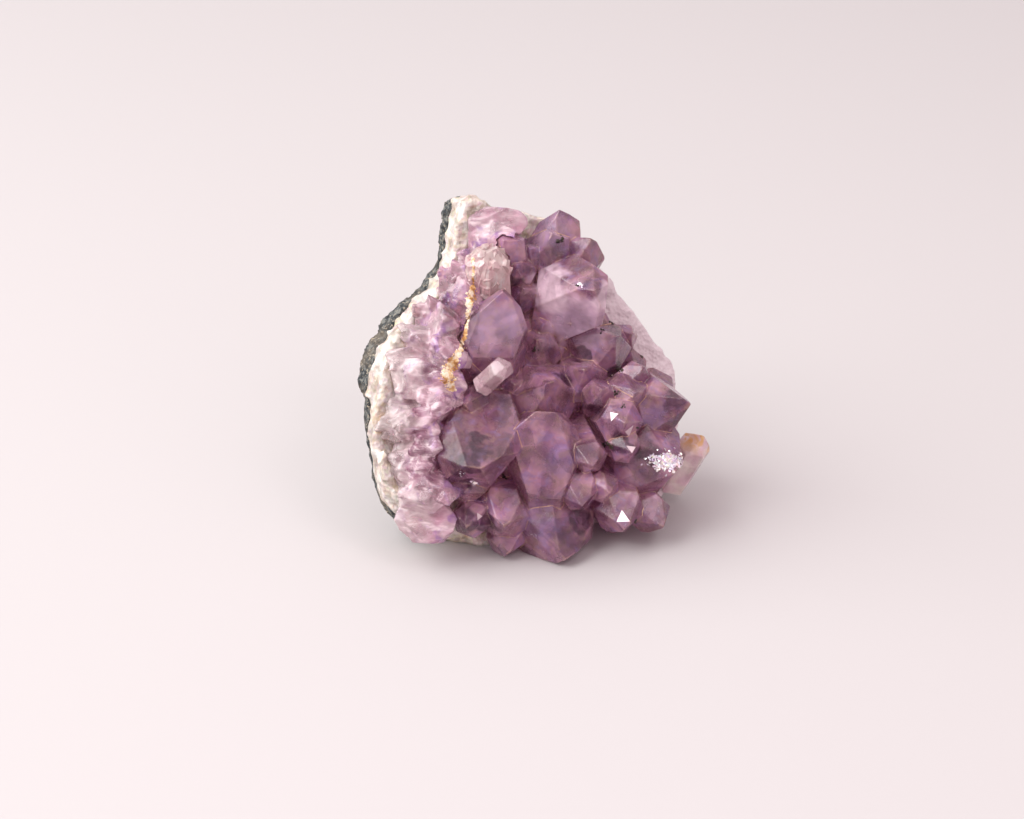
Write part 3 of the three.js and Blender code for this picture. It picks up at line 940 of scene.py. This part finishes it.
class OBJECT_OT_flank_columns(bpy.types.Operator):
    """Build the broken pale columns along the left flank"""

    bl_idname = "object.amethyst_flank_columns"
    bl_label = "Flank columns"

    def execute(self, context):
        rng = random.Random(17)
        piece = copy_of("flank_columns", "flank_columns_broken")
        trees = skins(piece, bpy.data.objects["quartz_band_sugary"])
        core = face_point(2, -2, -6)
        places = []
        ways = [(0, 0, -1), (0, 0, -1), (1, 0.1, -0.5)]
        for place, normal in places_on(trees, rng, ways, 420, lambda spot: -22 < spot.y < 24):
            outward = (place - core).normalized()
            axis = jittered((outward + normal * 0.25).normalized(), rng, 0.16)
            size = rng.uniform(0.9, 2.1) * MM
            spot = FACE_INVERSE @ place / MM
            place = place - normal * size * rng.uniform(0.82, 1.05) - axis * size * 0.6
            shard = set_at(place, axis, size, rng.uniform(0, 6.3), rng.uniform(1.2, 2.2))
            if spot.x > -26 or not 4 < spot.y < 9:
                places.append(shard)
        grown_together(piece, [broken_shard(rng) for _ in range(7)], places)
        melted(piece, FLANK_CELL, 2)
        material = grown_quartz(
            "pale_amethyst", "#f3dae1", "#e2b0c4", clear=(0.4, 0.8), absorb="#e6c4d0", density=8,
            rough=0.16, zoned=flank_zones, trees=skins(piece),
        )
        finish_piece(piece, material, "flank_columns", "flank_columns")
        return {"FINISHED"}


class OBJECT_OT_loose_crystals(bpy.types.Operator):
    """Build the snapped stub, the stray prism and the iron-stained side crystal"""

    bl_idname = "object.amethyst_loose_crystals"
    bl_label = "Broken and stained crystals"

    def execute(self, context):
        looks = {
            "broken_stub": ("cloudy_quartz", "#fbe6e2", "#efc6ca", (0.3, 0.65), "#e8cccf", 8),
            "stray_prism": ("clear_quartz", "#f4e0e2", "#dfbcc8", (0.55, 0.9), "#dcc0c8", 20),
            "side_crystal": ("iron_stained_quartz", "#fdeee8", "#f4d2de", (0.2, 0.5), "#e6c8cc", 4),
        }
        for node, (name, pale, deep, clear, absorb, density) in looks.items():
            piece = copy_of(node, node + "_grown")
            if node == "broken_stub":
                self.splinter(piece)
            else:
                worn_edges(piece, settings().edge_width)
            zoned = {"broken_stub": streaked_zones, "side_crystal": stained_tip}.get(node)
            material = grown_quartz(name, pale, deep, clear, absorb, density, zoned=zoned)
            finish_piece(piece, material, node, node)
        return {"FINISHED"}

    def splinter(self, piece):
        """Breaks the stub's faces into splinters that run up it."""
        rng = random.Random(41)
        places = []
        for place, normal in places_on(skins(piece), rng, [(0, 0, -1), (1, 0, -0.5)], 1500):
            axis = jittered(Vector((0, -0.25, 1)), rng, 0.3)
            size = rng.uniform(0.6, 1.3) * MM
            place = place - normal * size * rng.uniform(0.6, 0.9)
            places.append(set_at(place, axis, size, rng.uniform(0, 6.3), rng.uniform(0.8, 1.6)))
        grown_together(piece, [broken_shard(rng) for _ in range(5)], places)


class OBJECT_OT_rim_crystals(bpy.types.Operator):
    """Cover the open quartz band with small crystals, as sugary as broken milky quartz is"""

    bl_idname = "object.amethyst_rim_crystals"
    bl_label = "Sugary rim crystals"

    def execute(self, context):
        rng = random.Random(11)
        names = (
            "quartz_band_sugary", "rock_rind_weathered", "amethyst_points_grown",
            "flank_columns_broken", "broken_stub_grown", "side_crystal_grown",
        )
        trees = skins(*(bpy.data.objects[name] for name in names))
        ways = [(0, 0, -1), (1, 0, -0.35), (0.3, -1, -0.3), (-1, 0.2, -0.4)]
        places = []
        for place, normal in places_on(trees, rng, ways, settings().rim_tries, lambda spot: spot.x < 8):
            size = rng.uniform(0.5, 1.0) ** 1.5 * 1.1 * MM
            axis = jittered(normal, rng, 0.9)
            place = place - normal * size * rng.uniform(0.75, 1.1)
            places.append(set_at(place, axis, size, rng.uniform(0, 6.3), rng.uniform(0.6, 1.0)))
        shards = scattered([broken_shard(rng) for _ in range(6)], places, "rim_crystals")
        band = bpy.data.objects["quartz_band_sugary"]
        only(band, shards)
        bpy.ops.object.join()
        melted(band, RIM_CELL, 0)
        rest_flat(band)
        return {"FINISHED"}


# The crack beside the columns, from the top: x and y on the face, and half its width.
SEAM = (
    (-11.4, 24.6, 0.35), (-11.3, 23.2, 0.1), (-11.4, 19, 0.15), (-11.8, 17, 0.75), (-12.2, 14.5, 0.3),
    (-12.8, 10, 0.25), (-13.8, 6.5, 0.4), (-15.6, 3.6, 0.95), (-16.3, 0.8, 1.0), (-15.4, -1.4, 0.3),
)


class OBJECT_OT_iron_crust(bpy.types.Operator):
    """Fill the crack beside the columns with golden grains of iron ochre"""

    bl_idname = "object.amethyst_iron_crust"
    bl_label = "Iron ochre in the crack"

    def execute(self, context):
        rng = random.Random(5)
        names = (
            "quartz_band_sugary", "amethyst_points_grown", "flank_columns_broken",
            "broken_stub_grown", "stray_prism_grown",
        )
        trees = skins(*(bpy.data.objects[name] for name in names))
        places = []
        for (ax, ay, aw), (bx, by, bw) in zip(SEAM, SEAM[1:]):
            length = math.hypot(bx - ax, by - ay)
            for _ in range(int(length * 42 * (aw + bw))):
                t = rng.random()
                x = ax + (bx - ax) * t + rng.gauss(0, 0.7) * (aw + (bw - aw) * t)
                y = ay + (by - ay) * t
                hit = looking_in(trees, x, y)
                if hit is None:
                    continue
                size = rng.uniform(0.1, 0.32) * MM
                normal = jittered(hit[1], rng, 0.4)
                places.append(set_at(hit[0], normal, size, rng.uniform(0, 6.3), rng.uniform(0.3, 0.6)))
        piece = scattered([grain(2, 0.16)], places, "iron_ochre_crust")
        finish_piece(piece, iron_ochre(), "quartz_band")
        return {"FINISHED"}


# Black specks: x and y on the face, and size.
SPECKS = (
    (5.7, 28.5, 0.6), (9.0, 19.1, 0.32), (17.5, 3.0, 0.5), (16.7, -1.6, 0.4), (15.2, -11.6, 0.8),
    (-5.5, -18.2, 0.5), (-14.4, -21.5, 0.42), (0.6, 6.8, 0.45), (28.7, -20, 0.26), (20.5, -27.1, 0.4),
    (17.7, -4.4, 0.36), (20.8, -8.5, 0.3), (13.9, 10.9, 0.34), (16.2, 13.2, 0.5), (22.6, 6.0, 0.3),
)


class OBJECT_OT_iron_specks(bpy.types.Operator):
    """Set specks of black iron oxide on the crystal faces"""

    bl_idname = "object.amethyst_iron_specks"
    bl_label = "Black iron oxide specks"

    def execute(self, context):
        rng = random.Random(8)
        trees = skins(bpy.data.objects["amethyst_points_grown"])
        places = []
        for x, y, size in SPECKS:
            for _ in range(7):
                spread = size * 0.6
                hit = looking_in(trees, x + rng.gauss(0, spread), y + rng.gauss(0, spread))
                if hit is None:
                    continue
                part = rng.uniform(0.35, 0.75) * size * MM
                normal = jittered(hit[1], rng, 0.7)
                places.append(set_at(hit[0], normal, part, rng.uniform(0, 6.3), rng.uniform(0.5, 1.1)))
        piece = scattered([grain(2, 0.2)], places, "black_iron_specks")
        finish_piece(piece, iron_oxide(), "rock_rind")
        return {"FINISHED"}


FILM_FLOOR = 0.5 * MM


def creases(mesh, least):
    """The edges where two faces meet in a hollow that turns by at least this angle."""
    sides = {}
    for polygon in mesh.polygons:
        for key in polygon.edge_keys:
            sides.setdefault(key, []).append(polygon)
    found = []
    for edge in mesh.edges:
        pair = sides.get(edge.key, ())
        if len(pair) != 2:
            continue
        a, b = pair
        hollow = a.normal.dot(b.center - a.center) > 0
        if hollow and a.normal.angle(b.normal) > least:
            found.append(edge)
    return found


class OBJECT_OT_crease_film(bpy.types.Operator):
    """Draw the thin rusty film that gathers in the creases where crystals meet"""

    bl_idname = "object.amethyst_crease_film"
    bl_label = "Rusty film in the creases"

    def execute(self, context):
        piece = copy_of("amethyst_points", "crease_film")
        only(piece)
        bpy.ops.object.mode_set(mode="EDIT")
        bpy.ops.mesh.select_all(action="SELECT")
        bpy.ops.mesh.remove_doubles(threshold=0.12 * MM)
        bpy.ops.mesh.dissolve_limited(angle_limit=math.radians(1.5))
        bpy.ops.object.mode_set(mode="OBJECT")
        mesh = piece.data
        rng = random.Random(2)
        keep = {
            edge.index for edge in creases(mesh, math.radians(18))
            if rng.random() < 0.7 and all(mesh.vertices[i].co.z > FILM_FLOOR for i in edge.vertices)
        }
        bpy.ops.object.mode_set(mode="EDIT")
        bpy.ops.mesh.select_mode(type="EDGE")
        bpy.ops.mesh.select_all(action="DESELECT")
        bpy.ops.object.mode_set(mode="OBJECT")
        for edge in mesh.edges:
            edge.select = edge.index not in keep
        bpy.ops.object.mode_set(mode="EDIT")
        bpy.ops.mesh.delete(type="EDGE")
        bpy.ops.mesh.select_all(action="SELECT")
        bpy.ops.mesh.delete(type="ONLY_FACE")
        bpy.ops.object.mode_set(mode="OBJECT")
        bpy.ops.object.convert(target="CURVE")
        piece.data.bevel_depth = settings().film_width / 2
        piece.data.bevel_resolution = 1
        piece.data.use_fill_caps = True
        bpy.ops.object.convert(target="MESH")
        finish_piece(piece, iron_film(), "amethyst_points")
        return {"FINISHED"}


# Painted highlights, pale triangles where facets mirror the light: x and y on the face, radius and turn.
PAINTED_HIGHLIGHT_FACES = (
    (15.9, -6.2, 1.2, 0.4), (19, -9.2, 1.4, 2.1), (19.4, -12.6, 1.1, 1.2), (17.9, -26.2, 1.6, 0.2),
    (-10.2, -25.8, 0.8, 1),
)
# Patches of flakes: x and y on the face, spread each way, and how many.
SPARKLES = ((26.8, -15.2, 1.6, 0.8, 520), (9.6, 19.2, 0.4, 0.35, 14), (-11, -19.3, 0.35, 0.3, 16))


class OBJECT_OT_sparkling_break(bpy.types.Operator):
    """Set bright flakes of quartz on fresh chips, and pale triangles of painted highlight on facets that
    mirror the light
    """

    bl_idname = "object.amethyst_sparkling_break"
    bl_label = "Sparkling break"

    def execute(self, context):
        rng = random.Random(21)
        trees = skins(bpy.data.objects["amethyst_points_grown"])
        bpy.ops.object.select_all(action="DESELECT")
        bpy.ops.mesh.primitive_cylinder_add(vertices=5, radius=1.0, depth=0.24)
        flake = context.object
        bpy.ops.object.mode_set(mode="EDIT")
        bpy.ops.mesh.select_all(action="SELECT")
        bpy.ops.transform.vertex_random(offset=0.12, seed=4)
        bpy.ops.object.mode_set(mode="OBJECT")
        places = []
        for x, y, wide, high, count in SPARKLES:
            for _ in range(count):
                hit = looking_in(trees, x + rng.gauss(0, wide), y + rng.gauss(0, high))
                if hit is None:
                    continue
                size = rng.uniform(0.12, 0.4) * MM
                normal = jittered(hit[1], rng, 0.8)
                places.append(set_at(hit[0], normal, size, rng.uniform(0, 6.3)))
        piece = scattered([flake], places, "fresh_break_flakes")
        finish_piece(piece, broken_flakes(), "amethyst_points")

        # Pale glossy triangles painted as highlights where facets mirror the light.
        bpy.ops.object.select_all(action="DESELECT")
        bpy.ops.mesh.primitive_cylinder_add(vertices=3, radius=1.0, depth=0.1)
        places = []
        for x, y, size, spin in PAINTED_HIGHLIGHT_FACES:
            place, normal, _ = looking_in(trees, x, y)
            places.append(set_at(place, normal, size * MM, spin))
        piece = scattered([context.object], places, "bright_crack_faces")
        finish_piece(piece, painted_highlight_plates(), "amethyst_points")
        return {"FINISHED"}


# Veils of bubbles: x and y on the face, depth under it, and reach.
VEILS = (
    (8, 14, 2, 2.4), (10.5, 20, 3, 1.8), (-8, 15, 2, 2.2), (-9, -9, 3, 3), (-12.5, -16, 2.5, 2.2),
    (3, -13, 2.5, 2.6), (6, -19, 2.5, 2.2), (1.5, -28.5, 2.5, 2.8), (27, -5, 2, 2), (5.5, 27, 3, 2.2),
)


class OBJECT_OT_bubble_veils(bpy.types.Operator):
    """Seal veils of tiny bubbles inside the larger crystals, where old cracks have healed"""

    bl_idname = "object.amethyst_bubble_veils"
    bl_label = "Bubble veils"

    def execute(self, context):
        rng = random.Random(31)
        trees = skins(bpy.data.objects["amethyst_points_grown"])
        places = []
        for x, y, depth, reach in VEILS:
            middle = under_face(trees, x, y, depth)
            tilt = jittered(FACE.to_3x3() @ Vector((0, 0, 1)), rng, 1.1)
            first = tilt.orthogonal().normalized()
            second = tilt.cross(first)
            bow = rng.uniform(-0.25, 0.25)
            for _ in range(60):
                far, turn = reach * math.sqrt(rng.random()), rng.uniform(0, 2 * math.pi)
                a, b = far * math.cos(turn), far * math.sin(turn) * 0.6
                offset = first * a + second * b + tilt * (bow * a * a / reach)
                size = rng.uniform(0.03, 0.08) * MM
                places.append(set_at(middle + offset * MM, tilt, size, 0, rng.uniform(0.5, 1.5)))
        piece = scattered([grain(1, 0.1)], places, "bubble_veils")
        finish_piece(piece, sealed_bubbles(), "amethyst_points")
        return {"FINISHED"}


class OBJECT_OT_amethyst_stage(bpy.types.Operator):
    """Build the floor, the soft lights and the camera"""

    bl_idname = "object.amethyst_stage"
    bl_label = "Stage"

    def execute(self, context):
        scene = context.scene
        bpy.ops.object.select_all(action="DESELECT")
        bpy.ops.mesh.primitive_plane_add(size=4, location=(0, 0, 0))
        floor = context.object
        floor.name = "floor"
        material, tree, where, shader, _ = new_material("seamless_paper")
        tint = add(
            tree, "TexNoise",
            {"Vector": where, "Scale": scale_of(300), "Detail": 1, "Roughness": 0.55},
        ).outputs["Fac"]
        tree.links.new(
            add(
                tree, "Mix", {0: tint, 6: rgba("#bbb7b7"), 7: rgba("#beb9ba")}, data_type="RGBA",
            ).outputs[2],
            shader.inputs["Base Color"],
        )
        shader.inputs["Roughness"].default_value = 0.9
        floor.data.materials.append(material)

        view = Vector((0, math.cos(CAMERA_DROP), -math.sin(CAMERA_DROP)))
        # Name, turn and height in degrees, distance, size, power and colour.
        lights = [
            ("key", -82, 40, 1.1, 1.3, 18.5, "#fcfffc"),
            ("overhead", 180, 80, 0.9, 1.0, 2.6, "#fffbfb"),
            ("front", -50, 47, 0.8, 0.36, 1.2, "#fffbfb"),
            ("card", 47, 53, 0.6, 0.14, 0.35, "#fff8f9"),
            ("fill", 40, 30, 1.0, 0.8, 1.4, "#ffe0ea"),
        ]
        for name, turn, height, far, size, power, colour in lights:
            turn, height = math.radians(turn), math.radians(height)
            level = math.cos(height)
            way = Vector((math.sin(turn) * level, -math.cos(turn) * level, math.sin(height)))
            place = AIM + way * far
            bpy.ops.object.light_add(type="AREA", location=place)
            lamp = context.object
            lamp.name = name
            lamp.data.shape = "SQUARE"
            lamp.data.size = size
            lamp.data.energy = power
            lamp.data.color = linear(colour)
            lamp.rotation_euler = (AIM - place).to_track_quat("-Z", "Y").to_euler()

        world = bpy.data.worlds.new("studio")
        world.use_nodes = True
        scene.world = world
        background = world.node_tree.nodes["Background"]
        background.inputs["Color"].default_value = rgba("#fff0f3")
        background.inputs["Strength"].default_value = 0.68

        bpy.ops.object.camera_add(location=AIM - view * CAMERA_FAR)
        camera = context.object
        camera.rotation_euler = view.to_track_quat("-Z", "Y").to_euler()
        camera.data.lens = 85
        camera.data.sensor_width = 36
        camera.data.clip_start = 0.01
        scene.camera = camera
        scene.view_settings.view_transform = "Standard"
        scene.cycles.max_bounces = 16
        scene.cycles.transmission_bounces = 14
        return {"FINISHED"}


class VIEW3D_PT_amethyst_cluster(bpy.types.Panel):
    """The cluster's settings and the steps that build it"""

    bl_label = "Amethyst cluster"
    bl_idname = "VIEW3D_PT_amethyst_cluster"
    bl_space_type = "VIEW_3D"
    bl_region_type = "UI"
    bl_category = "Amethyst"

    def draw(self, context):
        values = context.scene.amethyst_cluster
        for name in values.__annotations__:
            self.layout.prop(values, name)
        for step in STEPS:
            self.layout.operator(step.bl_idname)


STEPS = (
    OBJECT_OT_rock_rind,
    OBJECT_OT_quartz_band,
    OBJECT_OT_amethyst_points,
    OBJECT_OT_flank_columns,
    OBJECT_OT_loose_crystals,
    OBJECT_OT_rim_crystals,
    OBJECT_OT_iron_crust,
    OBJECT_OT_iron_specks,
    OBJECT_OT_crease_film,
    OBJECT_OT_sparkling_break,
    OBJECT_OT_bubble_veils,
    OBJECT_OT_amethyst_stage,
)
CLASSES = (AmethystClusterSettings, *STEPS, VIEW3D_PT_amethyst_cluster)


def register():
    for each in CLASSES:
        bpy.utils.register_class(each)
    bpy.types.Scene.amethyst_cluster = bpy.props.PointerProperty(type=AmethystClusterSettings)


def unregister():
    del bpy.types.Scene.amethyst_cluster
    for each in reversed(CLASSES):
        bpy.utils.unregister_class(each)


def main():
    register()
    for step in STEPS:
        area, name = step.bl_idname.split(".")
        getattr(getattr(bpy.ops, area), name)()


if __name__ == "__main__":
    main()
